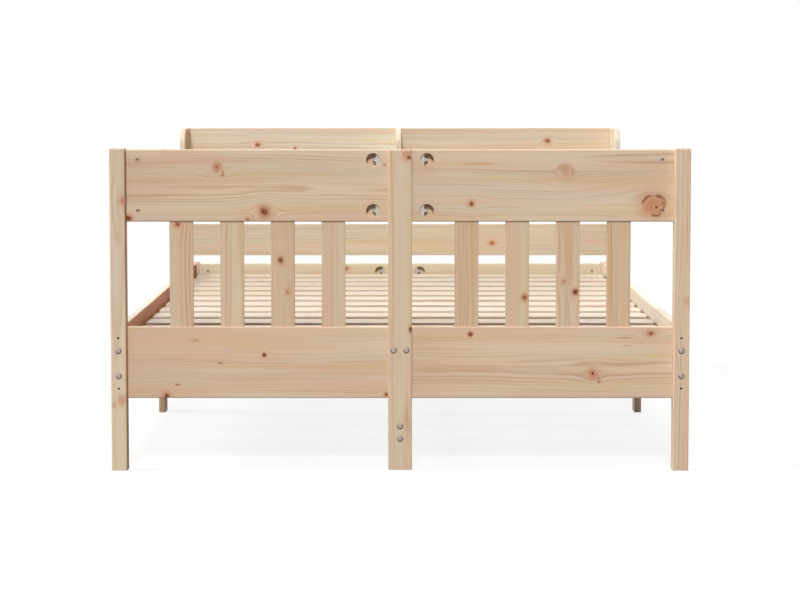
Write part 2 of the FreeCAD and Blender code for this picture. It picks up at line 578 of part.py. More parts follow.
end_posts()
end_rails("foot_upper_rail", FOOT_RAIL_Y, UPPER_RAIL_BOTTOM, UPPER_BOLT_HEIGHTS, FOOT_RAIL_Y, -Y_AXIS,
          "foot_post", "foot_centre_post")
end_rails("foot_lower_rail", FOOT_RAIL_Y, RAIL_BOTTOM, LOWER_BOLT_HEIGHTS, FOOT_RAIL_Y, Y_AXIS,
          "foot_post", "foot_centre_post")
end_rails("head_rail", HEAD_RAIL_Y, RAIL_BOTTOM, LOWER_BOLT_HEIGHTS, HEAD_RAIL_Y, -Y_AXIS,
          "head_post", "head_centre_post")
balusters()
side_rails()
centre_support()
slats()
bookcase()
write_parts()
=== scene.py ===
import json
import math
import random
from collections import namedtuple

import bmesh
import bpy
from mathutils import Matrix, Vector


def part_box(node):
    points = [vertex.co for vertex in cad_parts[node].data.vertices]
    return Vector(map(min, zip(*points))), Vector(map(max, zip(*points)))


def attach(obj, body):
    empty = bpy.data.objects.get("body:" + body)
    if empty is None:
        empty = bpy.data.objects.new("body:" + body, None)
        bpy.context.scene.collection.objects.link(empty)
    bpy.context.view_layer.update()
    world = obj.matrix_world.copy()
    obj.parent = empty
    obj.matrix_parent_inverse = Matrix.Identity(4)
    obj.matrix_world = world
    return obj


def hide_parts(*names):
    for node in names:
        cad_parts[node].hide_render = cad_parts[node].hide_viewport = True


# A pine double bed with a slatted foot end and an open bookcase behind its head end.
# Lengths are metres. X runs across the bed, Y from the foot end to the head end, and Z is up.

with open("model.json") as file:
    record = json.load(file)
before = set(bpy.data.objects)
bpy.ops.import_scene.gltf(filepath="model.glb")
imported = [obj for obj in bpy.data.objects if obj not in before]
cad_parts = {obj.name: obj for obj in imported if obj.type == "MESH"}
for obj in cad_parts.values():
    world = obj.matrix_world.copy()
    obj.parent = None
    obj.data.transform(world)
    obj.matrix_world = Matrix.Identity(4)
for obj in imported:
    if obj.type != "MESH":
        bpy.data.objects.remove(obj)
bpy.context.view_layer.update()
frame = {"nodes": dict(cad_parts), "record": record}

# Camera
EYE_DISTANCE = 5.584            # from the front of the foot posts
EYE_HEIGHT = 0.966
EYE_TILT = math.radians(4.21)   # downwards
EYE_LENS = 100.25               # millimetres
EYE_SENSOR = 36.0               # millimetres
EYE_SHIFT = -0.06

# Light: each lamp's name and level, where it comes from, how wide it is and its colour
Lamp = namedtuple("Lamp", "name level source spread colour", defaults=((1.0, 1.0, 1.0),))
LAMPS = (
    Lamp("key_light", 3.1, Vector((-0.86, 0.0, 0.51)), math.radians(26)),
    Lamp("front_light", 3.1, Vector((-0.05, -0.76, 0.65)), math.radians(14)),
    Lamp("back_light", 1.25, Vector((0.1, 0.92, 0.38)), math.radians(40)),
    Lamp("side_light", 0.45, Vector((0.8, 0.5, 0.33)), math.radians(50), (1.0, 0.8, 0.62)),
)
SKY_LEVEL = 0.1
SKY_COLOUR = (1.0, 0.88, 0.76, 1.0)     # of the light that the sky gives
FLOOR_SIZE = 60.0
FLOOR_SEEN = (0.9, 0.9, 0.9, 1.0)       # where it is seen directly
FLOOR_BOUNCE = (0.22, 0.22, 0.22, 1.0)  # of the light that the floor gives back
FLOOR_ROUGHNESS = 0.9
FLOOR_GLOW = 0.85               # share of the floor's white that no shadow takes away
FLOOR_FADE = (2.0, 6.0)         # the floor fades to plain white between these distances
WHITE = (1.0, 1.0, 1.0, 1.0)

# Hardware
BOLT_HEAD_RADIUS = 0.008
BOLT_HEAD_HEIGHT = 0.0035
BOLT_HEAD_SLOPE = (0.5, 1.0)    # the head slopes down between these shares of its radius
BOLT_HEAD_SHADE = (0.5, 0.8)    # and a painted shade darkens it between these
BOLT_HEAD_SHADE_DARKNESS = 0.75
BOLT_EDGE_HEIGHT = 0.12         # share of the head's height
BOLT_RADIUS = 0.003
BOLT_SOCKET = 0.005             # across the flats
BOLT_SOCKET_DEPTH = 0.7         # share of the head's height
HEAD_SIDES = 48
HEAD_RINGS = 12
SHANK_SIDES = 24
THREAD_PITCH = 0.001
THREAD_DEPTH = 0.0005
THREAD_SIDES = 12
THREAD_RINGS = 3.0              # for each turn of the thread
SHARP_ANGLE = math.radians(32)  # edges sharper than this stay crisp
MERGE_DISTANCE = 0.00001


def srgb(red, green, blue):
    """A colour written in 0 to 255, as the shader needs it."""
    def linear(value):
        share = value / 255
        return share / 12.92 if share <= 0.04045 else ((share + 0.055) / 1.055) ** 2.4
    return (linear(red), linear(green), linear(blue), 1.0)


# Pine colours
EARLYWOOD = srgb(208, 187, 162)
LATEWOOD = srgb(174, 136, 101)
PINK_HEARTWOOD = srgb(205, 174, 149)
GREY_SAPWOOD = srgb(200, 185, 164)
STRAW = srgb(203, 177, 137)
RESIN = srgb(154, 101, 63)
KNOT_FLAME = srgb(194, 148, 115)
KNOT_BODY = srgb(188, 132, 96)
KNOT_RIM = srgb(116, 62, 34)
KNOT_HEART = srgb(98, 46, 18)

# Beech and zinc colours
PALE_BEECH = srgb(214, 176, 138)
DARK_BEECH = srgb(200, 158, 122)
BEECH_RAY = srgb(150, 104, 72)
PALE_ZINC = (srgb(168, 160, 152), srgb(206, 198, 190))  # the dark and the light of its clouds
# Darker steel: the bolts' own colour, and a painted shade on the barrel nuts in their holes
DARK_ZINC = (srgb(150, 136, 126), srgb(196, 182, 172))
# Painted shade on the rims of bolt heads
BOLT_RIM_SHADE = srgb(92, 76, 64)


# Node wiring

class Wiring:
    """Adds nodes to one node tree and joins them."""

    def __init__(self, tree):
        self.tree = tree

    def node(self, kind, inputs=None, **settings):
        made = self.tree.nodes.new(kind)
        for name, value in settings.items():
            setattr(made, name, value)
        for key, value in (inputs or {}).items():
            self.feed(made.inputs[key], value)
        return made

    def feed(self, socket, value):
        """Joins a socket to another one, or sets its own value."""
        if isinstance(value, bpy.types.NodeSocket):
            self.tree.links.new(value, socket)
        else:
            socket.default_value = value

    def math(self, operation, first, second=0.0, third=0.0):
        made = self.node("ShaderNodeMath", {0: first, 1: second, 2: third}, operation=operation)
        return made.outputs[0]

    def vector(self, operation, first, second):
        made = self.node("ShaderNodeVectorMath", {0: first, 1: second}, operation=operation)
        return made.outputs[0]

    def split(self, vector):
        return self.node("ShaderNodeSeparateXYZ", {0: vector}).outputs

    def join(self, x, y, z):
        return self.node("ShaderNodeCombineXYZ", {0: x, 1: y, 2: z}).outputs[0]

    def length(self, x, y):
        """Length of the vector with these two sides."""
        return self.math("SQRT", self.math("ADD", self.math("MULTIPLY", x, x), self.math("MULTIPLY", y, y)))

    def swing(self, share, width):
        """A share from zero to one, as an offset about zero."""
        return self.math("MULTIPLY_ADD", share, width, -width / 2)

    def step(self, value, start, end, low=0.0, high=1.0):
        """A smooth step from low to high while a value goes from start to end."""
        inputs = {"Value": value, "From Min": start, "From Max": end, "To Min": low, "To Max": high}
        return self.node("ShaderNodeMapRange", inputs, interpolation_type="SMOOTHSTEP").outputs["Result"]

    def mix(self, share, first, second, blend="MIX"):
        made = self.node("ShaderNodeMix", {0: share, 6: first, 7: second}, data_type="RGBA", blend_type=blend)
        return made.outputs[2]

    def noise(self, point, scale=1.0, detail=2.0, roughness=0.5):
        inputs = {"Vector": point, "Scale": scale, "Detail": detail, "Roughness": roughness}
        return self.node("ShaderNodeTexNoise", inputs).outputs

    def random(self, x, y):
        """Three random shares that are the same wherever x and y are."""
        made = self.node("ShaderNodeTexWhiteNoise", {"Vector": self.join(x, y, 0.0)}, noise_dimensions="3D")
        return self.split(made.outputs["Color"])

    def group(self, group, inputs):
        made = self.node("ShaderNodeGroup", node_tree=group)
        for name, value in inputs.items():
            self.feed(made.inputs[name], value)
        return made.outputs


def node_group(kind, name, inputs, outputs):
    """An empty node group with named sockets, its wiring and its two ends."""
    tree = bpy.data.node_groups.new(name, kind)
    for label, socket in inputs.items():
        tree.interface.new_socket(label, in_out="INPUT", socket_type="NodeSocket" + socket)
    for label, socket in outputs.items():
        tree.interface.new_socket(label, in_out="OUTPUT", socket_type="NodeSocket" + socket)
    given = tree.nodes.new("NodeGroupInput").outputs
    put = tree.nodes.new("NodeGroupOutput").inputs
    return Wiring(tree), given, put


def shaded_material(name):
    """A new material, its wiring and its shader."""
    material = bpy.data.materials.new(name)
    material.use_nodes = True
    wiring = Wiring(material.node_tree)
    return material, wiring, wiring.tree.nodes["Principled BSDF"]


# Pine

# A knot's outline, and the way that the grain parts for it
OUTLINE_LUMPS = 0.8             # in one radius
OUTLINE_SWING = 0.6             # radii
PARTING_LENGTH = 1.7            # knot lengths
PARTING_WIDTH = 1.3             # knot radii


def knot_group():
    """Distance from a knot in knot radii, and how far the grain swerves round the knot."""
    wiring, given, put = node_group(
        "ShaderNodeTree", "pine knot",
        {"Board Point": "Vector", "Centre": "Vector", "Radius": "Float", "Stretch": "Float"},
        {"Distance": "Float", "Swerve": "Float"})
    along, across, _ = wiring.split(wiring.vector("SUBTRACT", given["Board Point"], given["Centre"]))
    radius = given["Radius"]
    near = wiring.length(wiring.math("DIVIDE", along, given["Stretch"]), across)
    lumps = wiring.noise(given["Board Point"], wiring.math("DIVIDE", OUTLINE_LUMPS, radius), 1.0)["Fac"]
    uneven = wiring.swing(lumps, OUTLINE_SWING)
    wiring.feed(put["Distance"], wiring.math("ADD", wiring.math("DIVIDE", near, radius), uneven))

    # The grain parts like water round a stone.
    stretch = wiring.math("MULTIPLY", given["Stretch"], PARTING_LENGTH)
    flow = wiring.length(wiring.math("DIVIDE", along, stretch), across)
    reach = wiring.math("MULTIPLY", radius, PARTING_WIDTH)
    share = wiring.math("MINIMUM", wiring.math("DIVIDE", reach, flow), 1.0)
    pushed = wiring.math("MULTIPLY", across, wiring.math("MULTIPLY", share, share))
    wiring.feed(put["Swerve"], wiring.math("MULTIPLY", pushed, -1.0))
    return wiring.tree


# Layers of a knot: a fade is in knot radii from its middle, and a cover is how far a layer hides the wood
FLAME_FADE = (0.9, 2.4)
FLAME_COVER = 0.5
BODY_FADE = (0.5, 1.35)
BODY_COVER = 0.95
RIM_PLACE = 0.95
RIM_FADE = (0.02, 0.15)         # to each side of the rim's place
RIM_COVER = 0.85
RIM_PATCHES = 0.9               # in one radius
RIM_BREAKS = (0.4, 0.56)        # the rim comes in between these levels of the patches
KNOT_RING_TURN = 22.0           # of the rings' wave in one radius, in radians
KNOT_RING_WOBBLE = 16.0         # radians
KNOT_RING_LINE = (0.1, 1.0)     # levels of the wave
KNOT_RING_FADE = (0.8, 1.0)
KNOT_RING_COVER = 0.22
HEART_FADE = (0.35, 1.35)       # shares of the heart's radius
HEART_MOTTLES = 3.0             # in one radius
HEART_BREAKS = (0.3, 0.55)
HEART_THIN_COVER = 0.5
WIDE_KNOT = (0.012, 0.022)      # rings and a rim come in between these radii
NARROW_KNOT_COVER = 0.25


def knot_colour_group():
    """Paints a knot over the wood: a flame in the grain, an orange body, a broken rim and a dark heart."""
    wiring, given, put = node_group(
        "ShaderNodeTree", "pine knot colour",
        {"Wood": "Color", "Board Point": "Vector", "Radius": "Float", "Distance": "Float", "Heart": "Float",
         "Depth": "Float"},
        {"Color": "Color"})
    distance = given["Distance"]
    radius = given["Radius"]
    patches = wiring.noise(given["Board Point"], wiring.math("DIVIDE", RIM_PATCHES, radius), 1.0)["Fac"]
    mottle = wiring.noise(given["Board Point"], wiring.math("DIVIDE", HEART_MOTTLES, radius), 2.0)["Fac"]

    # Only wide knots have plain rings and a plain rim.
    wide = wiring.step(radius, *WIDE_KNOT, NARROW_KNOT_COVER, 1.0)
    wobble = wiring.math("MULTIPLY", patches, KNOT_RING_WOBBLE)
    wave = wiring.math("SINE", wiring.math("MULTIPLY_ADD", distance, KNOT_RING_TURN, wobble))
    rings = wiring.math("MULTIPLY", wiring.step(wave, *KNOT_RING_LINE, 0.0, KNOT_RING_COVER),
                        wiring.step(distance, *KNOT_RING_FADE, 1.0, 0.0))
    off_rim = wiring.math("ABSOLUTE", wiring.math("SUBTRACT", distance, RIM_PLACE))
    rim = wiring.math("MULTIPLY", wiring.step(off_rim, *RIM_FADE, RIM_COVER, 0.0),
                      wiring.step(patches, *RIM_BREAKS))
    heart_start, heart_end = [wiring.math("MULTIPLY", given["Heart"], share) for share in HEART_FADE]
    heart = wiring.math("MULTIPLY", wiring.step(distance, heart_start, heart_end, 1.0, 0.0),
                        wiring.step(mottle, *HEART_BREAKS, HEART_THIN_COVER, 1.0))
    layers = (
        (KNOT_FLAME, wiring.step(distance, *FLAME_FADE, FLAME_COVER, 0.0)),
        (KNOT_BODY, wiring.step(distance, *BODY_FADE, BODY_COVER, 0.0)),
        (KNOT_RIM, wiring.math("MULTIPLY", wiring.math("MAXIMUM", rim, rings), wide)),
        (KNOT_HEART, heart),
    )
    colour = given["Wood"]
    for paint, cover in layers:
        colour = wiring.mix(wiring.math("MULTIPLY", cover, given["Depth"]), colour, paint)
    wiring.feed(put["Color"], colour)
    return wiring.tree


# Annual rings: a swing is the whole width of an offset
PITH_BENDS = 1.5                # in a metre
PITH_SWING = 0.09               # from stave to stave
PITH_LEAST_DEPTH = 0.6          # share of the board's own pith depth
PITH_DEPTH_RANGE = 0.8
WANDER_ACROSS = 0.03            # along one stave
WANDER_DEEP = 0.016
RIPPLE_NOISE = (6.0, 40.0, 40.0)
RIPPLE_SWING = 0.004
UNEVEN_NOISE = 60.0
UNEVEN_RINGS = 2.5              # ring widths
LATEWOOD_RISE = (0.2, 0.85)     # shares of a ring
LATEWOOD_FALL = (0.85, 1.0)
FAINTEST_RING = 0.1


def grain_group():
    """Annual rings about a pith that wanders behind each stave of a board."""
    wiring, given, put = node_group(
        "ShaderNodeTree", "pine grain",
        {"Board Point": "Vector", "Swerve": "Float", "Seed": "Float", "Half Width": "Float",
         "Stave Width": "Float", "Pith Depth": "Float", "Ring Width": "Float"},
        {"Latewood": "Float", "Stave Tone": "Float"})
    along, across, through = wiring.split(given["Board Point"])
    seed = given["Seed"]
    place = wiring.math("DIVIDE", wiring.math("ADD", across, given["Half Width"]), given["Stave Width"])
    stave = wiring.math("FLOOR", place)
    middle = wiring.math("SUBTRACT", wiring.math("SUBTRACT", place, stave), 0.5)
    across_stave = wiring.math("MULTIPLY", middle, given["Stave Width"])
    chance = wiring.random(stave, seed)

    slow = wiring.join(wiring.math("MULTIPLY", along, PITH_BENDS), wiring.math("ADD", stave, seed), seed)
    wander = wiring.split(wiring.noise(slow, 1.0, 1.0)["Color"])
    pith_across = wiring.swing(chance[0], PITH_SWING)
    pith_share = wiring.math("MULTIPLY_ADD", chance[1], PITH_DEPTH_RANGE, PITH_LEAST_DEPTH)
    pith_depth = wiring.math("MULTIPLY", given["Pith Depth"], pith_share)
    aside = wiring.math("SUBTRACT", wiring.math("ADD", across_stave, given["Swerve"]), pith_across)
    aside = wiring.math("ADD", aside, wiring.swing(wander[0], WANDER_ACROSS))
    deep = wiring.math("ADD", through, pith_depth)
    deep = wiring.math("ADD", deep, wiring.swing(wander[1], WANDER_DEEP))
    radius = wiring.length(aside, deep)
    ripple = wiring.noise(wiring.vector("MULTIPLY", given["Board Point"], RIPPLE_NOISE), 1.0, 3.0)["Fac"]
    radius = wiring.math("ADD", radius, wiring.swing(ripple, RIPPLE_SWING))

    ring_point = wiring.join(wiring.math("MULTIPLY", radius, UNEVEN_NOISE), seed, stave)
    uneven = wiring.noise(ring_point, 1.0, 1.0)["Fac"]
    turns = wiring.math("ADD", wiring.math("DIVIDE", radius, given["Ring Width"]),
                        wiring.math("MULTIPLY", uneven, UNEVEN_RINGS))
    ring = wiring.math("FLOOR", turns)
    share = wiring.math("SUBTRACT", turns, ring)
    rise = wiring.step(share, *LATEWOOD_RISE)
    fall = wiring.step(share, *LATEWOOD_FALL, 1.0, 0.0)
    ring_chance = wiring.random(ring, seed)[0]
    strength = wiring.math("MULTIPLY_ADD", ring_chance, 1.0 - FAINTEST_RING, FAINTEST_RING)
    wiring.feed(put["Latewood"], wiring.math("MULTIPLY", wiring.math("MULTIPLY", rise, fall), strength))
    wiring.feed(put["Stave Tone"], chance[2])
    return wiring.tree


# Tones over the earlywood: the noise levels that each comes in between, how far it covers, and its colour
PINK_TONE = ((0.45, 0.72), 1.0, PINK_HEARTWOOD)
GREY_TONE = ((0.42, 0.66), 0.9, GREY_SAPWOOD)
STRAW_TONE = ((0.48, 0.7), 0.75, STRAW)
RESIN_TONE = ((0.68, 0.76), 0.3, RESIN)
STAVE_PINK = 0.16
LATEWOOD_LEVELS = (0.34, 0.64)
LATEWOOD_COVERS = (0.15, 0.8)

# Noise in a metre along, across and through a board
BROAD_NOISE = (1.6, 13.0, 13.0)
NARROW_NOISE = (1.4, 42.0, 42.0)
FIBRE_NOISE = (45.0, 1400.0, 1400.0)
RESIN_NOISE = (75.0, 1100.0, 1100.0)
FIBRE_DETAIL = (2.0, 0.6)       # how fine and how rough the noise of the fibres is

# Levels of the sanded wood: a depth is in metres below the surface
WOOD_LEVEL = 0.93
FIBRE_LEVEL = 0.1
STAVE_LEVEL = 0.05
END_GRAIN_DEPTH = (0.0, 0.0012)
END_GRAIN_LEVEL = 0.8
# Painted shade at the bottoms of deep drillings
DEEP_HOLE_SHADE_DEPTH = (0.0105, 0.0125)
DEEP_HOLE_SHADE_LEVEL = 0.08
# Edges a little paler: partly sanding wear, partly a painted highlight
EDGE_WEAR_AND_SHEEN_DEPTH = (0.001, 0.0035)
EDGE_WEAR_AND_SHEEN_LEVEL = 1.04

# Roughness and relief of the sanded wood
PINE_ROUGHNESS = 0.48
FIBRE_ROUGHNESS = 0.24
LATEWOOD_POLISH = 0.1
LATEWOOD_RELIEF = 0.6           # of the fibres' relief


def wood_colour_group():
    """Colour, roughness and relief of sanded pine."""
    wiring, given, put = node_group(
        "ShaderNodeTree", "sanded pine",
        {"Board Point": "Vector", "Latewood": "Float", "Stave Tone": "Float", "Seed": "Float",
         "Half Size": "Vector"},
        {"Color": "Color", "Roughness": "Float", "Relief": "Float"})
    along, across, through = wiring.split(given["Board Point"])
    shifted = wiring.join(wiring.math("ADD", along, given["Seed"]), across, through)

    def board_noise(scale, detail=2.0, roughness=0.5):
        """Noise that is drawn out along the board."""
        return wiring.noise(wiring.vector("MULTIPLY", shifted, scale), 1.0, detail, roughness)

    def toned(under, level, tone):
        """A colour with a tone over it, where a noise is high enough."""
        levels, cover, paint = tone
        return wiring.mix(wiring.step(level, *levels, 0.0, cover), under, paint)

    broad = wiring.split(board_noise(BROAD_NOISE)["Color"])
    narrow = wiring.split(board_noise(NARROW_NOISE)["Color"])
    fibre = board_noise(FIBRE_NOISE, *FIBRE_DETAIL)["Fac"]
    canal = board_noise(RESIN_NOISE, 1.0)["Fac"]
    pink = wiring.math("MULTIPLY_ADD", given["Stave Tone"], STAVE_PINK, broad[0])
    colour = toned(EARLYWOOD, pink, PINK_TONE)
    colour = toned(colour, narrow[0], GREY_TONE)
    colour = toned(colour, narrow[1], STRAW_TONE)
    late_band = wiring.step(narrow[2], *LATEWOOD_LEVELS, *LATEWOOD_COVERS)
    colour = wiring.mix(wiring.math("MULTIPLY", given["Latewood"], late_band), colour, LATEWOOD)
    colour = toned(colour, canal, RESIN_TONE)
    level = wiring.math("ADD", wiring.math("MULTIPLY_ADD", fibre, FIBRE_LEVEL, WOOD_LEVEL),
                        wiring.math("MULTIPLY", given["Stave Tone"], STAVE_LEVEL))

    # End grain is darker; the bottoms of deep drillings are darker as painted shade, and the edges a little
    # paler, partly sanding wear and partly a painted highlight.
    inwards = [wiring.math("SUBTRACT", half, wiring.math("ABSOLUTE", place))
               for half, place in zip(wiring.split(given["Half Size"]), (along, across, through))]
    nearer = wiring.math("MINIMUM", inwards[1], inwards[2])
    further = wiring.math("MAXIMUM", inwards[1], inwards[2])
    inside = wiring.math("MINIMUM", inwards[0], nearer)
    level = wiring.math("MULTIPLY", level, wiring.step(inwards[0], *END_GRAIN_DEPTH, END_GRAIN_LEVEL, 1.0))
    level = wiring.math("MULTIPLY", level, wiring.step(inside, *DEEP_HOLE_SHADE_DEPTH, 1.0, DEEP_HOLE_SHADE_LEVEL))
    level = wiring.math("MULTIPLY", level, wiring.step(further, *EDGE_WEAR_AND_SHEEN_DEPTH, EDGE_WEAR_AND_SHEEN_LEVEL, 1.0))
    wiring.feed(put["Color"], wiring.mix(1.0, colour, wiring.join(level, level, level), "MULTIPLY"))

    polished = wiring.math("MULTIPLY_ADD", given["Latewood"], -LATEWOOD_POLISH, PINE_ROUGHNESS)
    wiring.feed(put["Roughness"], wiring.math("MULTIPLY_ADD", fibre, FIBRE_ROUGHNESS, polished))
    raised = wiring.math("MULTIPLY", given["Latewood"], LATEWOOD_RELIEF)
    wiring.feed(put["Relief"], wiring.math("ADD", fibre, raised))
    return wiring.tree


class Board:
    """Where a board lies, and which way its grain, its width and its thickness run."""

    def __init__(self, node):
        low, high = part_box(node)
        size = high - low
        self.left = low.x
        self.right = high.x
        self.centre = (low + high) / 2
        self.axes = sorted(range(3), key=lambda axis: -size[axis])
        self.length, self.width, self.thickness = [size[axis] for axis in self.axes]

    def point(self, place):
        """A place in the bed, along, across and through the board from its middle."""
        offset = Vector(place) - self.centre
        return Vector([offset[axis] for axis in self.axes])


# How much paler, darker or yellower than plain pine some boards are, in red, green and blue: mostly the
# boards' own tone, with painted light and shade in some of them
TINTS_AND_PAINTED_LIGHT = {
    "slat": (0.98, 1.06, 1.18),
    "head_rail": (0.98, 1.04, 1.02),
    # The bookcase tints are partly painted light: most make the head end paler than the lamps light it.
    "bookcase": (1.0, 1.08, 1.13),
    "bookcase_back_left": (1.04, 1.17, 1.26),
    "bookcase_back_right": (1.02, 1.08, 1.13),
    "bookcase_headrest": (0.94, 1.0, 1.02),
    "bookcase_side": (1.1, 1.22, 1.34),
    "bookcase_divider": (1.16, 1.29, 1.43),
    # Painted light: the right side rail is paler for its brightly lit inner face.
    "side_rail_right": (1.04, 1.19, 1.33),
    "side_rail_left": (1.02, 1.12, 1.18),
    # Painted light and shade: the left leg is darker where the key lamp reaches it, and the right leg paler
    # in the bed's shadow.
    "side_leg_left": (0.88, 0.82, 0.75),
    "side_leg_right": (1.12, 1.1, 1.08),
    "foot_lower_rail": (1.0, 0.98, 0.96),
    "foot_post_left": (1.0, 1.05, 1.07),
    "foot_post_right": (1.04, 1.025, 1.015),
    "baluster": (1.0, 0.98, 0.95),
    "baluster_2": (0.98, 1.03, 0.99),
    "baluster_3": (0.94, 0.855, 0.77),
    "baluster_5": (0.94, 0.94, 0.88),
    "baluster_6": (0.96, 0.99, 0.965),
    "baluster_7": (0.99, 0.945, 0.91),
    "baluster_8": (0.98, 0.9, 0.8),
}

# Painted shade on the right-facing side of some boards, darker and redder, and painted light on the
# left-facing side of one, paler: the colour change within a few millimetres of that side
PAINTED_SHADE_FACES = {
    "side_rail_left": (0.9, 0.46, 0.31),
    "foot_post_left": (0.7, 0.5, 0.38),
    "bookcase_side_left": (0.95, 0.72, 0.58),
}
PAINTED_LIGHT_FACES = {"foot_post_right": (1.2, 1.3, 1.38)}
SIDE_FACE_DEPTH = 0.003


def tint(node):
    """The tint with the longest name that the board's name starts with."""
    names = [name for name in TINTS_AND_PAINTED_LIGHT if node.startswith(name)]
    return TINTS_AND_PAINTED_LIGHT[max(names, key=len)] if names else (1.0, 1.0, 1.0)


# A knot's place across the bed and above the floor, its radius, how much longer it is along the grain, the
# share of it that is dark heart, how plainly it shows, and how far the grain parts for it
Knot = namedtuple("Knot", "x z radius stretch heart depth parting", defaults=(1.0, 0.6, 1.0, 1.0))


def streak(x, z, radius, stretch, heart, depth):
    """A dark mark that the grain doesn't part for, beside a knot or alone."""
    return Knot(x, z, radius, stretch, heart, depth, 0.0)


# Knots that show from the foot end
SHOWN_KNOTS = {
    "foot_upper_rail_left": (
        Knot(-0.461, 0.768, 0.0125, 0.85, 0.3),
        streak(-0.446, 0.754, 0.0075, 0.36, 0.6, 0.5),
        streak(-0.4455, 0.747, 0.003, 1.6, 0.8, 0.6),
        Knot(-0.3425, 0.655, 0.0155, 1.0, 0.6),
        Knot(-0.384, 0.636, 0.007, 1.4, 0.6, 0.5),
        Knot(-0.686, 0.639, 0.008, 1.5, 0.8),
        Knot(-0.0385, 0.7725, 0.004, 1.0, 0.7, 0.5),
    ),
    "foot_upper_rail_right": (
        Knot(0.180, 0.675, 0.008),
        Knot(0.6405, 0.672, 0.0265, 1.05, 0.05),
        streak(0.6455, 0.667, 0.0055, 0.8, 0.9, 1.0),
        streak(0.6615, 0.6765, 0.0085, 0.65, 0.6, 0.65),
        Knot(0.4165, 0.757, 0.016, 0.6, 0.02, 0.35),
        streak(0.4335, 0.7555, 0.0095, 0.3, 0.5, 0.4),
        streak(0.1995, 0.776, 0.0022, 17.0, 0.1, 0.5),
    ),
    "foot_centre_post": (
        Knot(0.017, 0.798, 0.011, 1.1, 0.05, 0.7),
        Knot(0.0225, 0.7915, 0.0055, 1.0, 0.9),
        Knot(0.0265, 0.3575, 0.005, 1.8, 0.8),
    ),
    "foot_post_left": (
        Knot(-0.697, 0.684, 0.01, 1.2, 0.25, 0.65),
        Knot(-0.702, 0.18, 0.01, 1.3, 0.1, 0.6),
        streak(-0.7225, 0.167, 0.005, 1.2, 0.3, 0.5),
    ),
    "foot_post_right": (Knot(0.722, 0.43, 0.009, 1.5, 0.2, 0.35),),
    "baluster_1": (Knot(-0.561, 0.623, 0.009, 1.0, 0.5),),
    "baluster_2": (),
    "baluster_3": (Knot(-0.301, 0.532, 0.0085, 1.3, 0.7), Knot(-0.2835, 0.452, 0.007, 1.3, 0.3, 0.6)),
    "baluster_4": (),
    "baluster_5": (),
    "baluster_6": (Knot(0.315, 0.438, 0.009, 1.1, 0.6, 0.9),),
    "baluster_7": (Knot(0.415, 0.479, 0.007, 1.1, 0.4, 0.5), Knot(0.443, 0.452, 0.009, 1.1, 0.8)),
    "baluster_8": (),
    "foot_lower_rail_left": (
        Knot(-0.518, 0.329, 0.004, 2.6, 0.3, 0.5),
        Knot(-0.455, 0.272, 0.003, 1.3, 0.5, 0.6),
        Knot(-0.344, 0.292, 0.006, 1.0, 0.9),
        Knot(-0.564, 0.216, 0.003, 2.0, 0.8, 0.6),
        Knot(-0.591, 0.188, 0.009, 1.2, 0.55),
        Knot(-0.0335, 0.1915, 0.007, 1.2, 0.6, 0.9),
    ),
    "foot_lower_rail_right": (
        Knot(0.178, 0.345, 0.007, 1.0, 0.9),
        Knot(0.634, 0.347, 0.008, 1.5, 0.55, 0.9),
        Knot(0.4885, 0.2445, 0.0125, 0.85, 0.35),
        streak(0.503, 0.233, 0.009, 0.3, 0.6, 0.5),
        streak(0.5035, 0.2235, 0.003, 1.6, 0.8, 0.7),
        streak(0.5695, 0.336, 0.0016, 12.0, 0.9, 0.5),
        streak(0.574, 0.316, 0.0012, 10.0, 0.9, 0.4),
    ),
    "bookcase_back_left": (
        Knot(-0.502, 0.766, 0.009, 1.2, 0.6, 0.9),
        Knot(-0.371, 0.753, 0.005, 1.2, 0.8, 0.8),
    ),
    "bookcase_back_right": (Knot(0.520, 0.780, 0.010, 1.2, 0.6, 0.9),),
    "bookcase_headrest_board": (Knot(0.318, 0.432, 0.010, 1.2, 0.5, 0.9),),
    "head_rail_left": (Knot(-0.184, 0.347, 0.008, 1.2, 0.5, 0.9),),
    "head_rail_right": (),
}

# Knots of the other boards, drawn by chance between these values
WHORL_SPACING = 0.5
FIRST_WHORL = (0.3, 0.9)        # spacings from the board's end
NEXT_WHORL = (0.7, 1.4)         # spacings from the last one
KNOT_ACROSS = 0.45              # farthest from the middle, as a share of the board's width
WIDEST_KNOT = 0.15              # radius, as a share of the board's width
KNOT_RADII = (0.003, 0.011)
KNOT_STRETCHES = (1.0, 1.5)
KNOT_HEARTS = (0.3, 0.9)
KNOT_DEPTHS = (0.5, 0.95)

# Timber of a board
STAVE_WIDTH = 0.095             # widest stave of the glued boards
SEEDS = (0.0, 50.0)
PITH_DEPTHS = (0.02, 0.05)      # from the middle of the board
RING_WIDTHS = (0.0035, 0.006)
RELIEF_STRENGTH = 0.25
RELIEF_HEIGHT = 0.0004
PINE_SHINE = 0.3
PINE_GROUPS = {"knot": knot_group(), "knot colour": knot_colour_group(), "grain": grain_group(),
               "wood": wood_colour_group()}


def board_knots(node, board, chance):
    """The board's knots as place, radius, stretch, heart, depth and parting."""
    if node in SHOWN_KNOTS:
        return [(board.point((knot.x, board.centre.y, knot.z)),) + knot[2:] for knot in SHOWN_KNOTS[node]]
    knots = []
    place = -board.length / 2 + WHORL_SPACING * chance.uniform(*FIRST_WHORL)
    while place < board.length / 2:
        across = board.width * chance.uniform(-KNOT_ACROSS, KNOT_ACROSS)
        radius = min(board.width * WIDEST_KNOT, chance.uniform(*KNOT_RADII))
        stretch = chance.uniform(*KNOT_STRETCHES)
        heart = chance.uniform(*KNOT_HEARTS)
        depth = chance.uniform(*KNOT_DEPTHS)
        knots.append((Vector((place, across, 0.0)), radius, stretch, heart, depth, 1.0))
        place += WHORL_SPACING * chance.uniform(*NEXT_WHORL)
    return knots


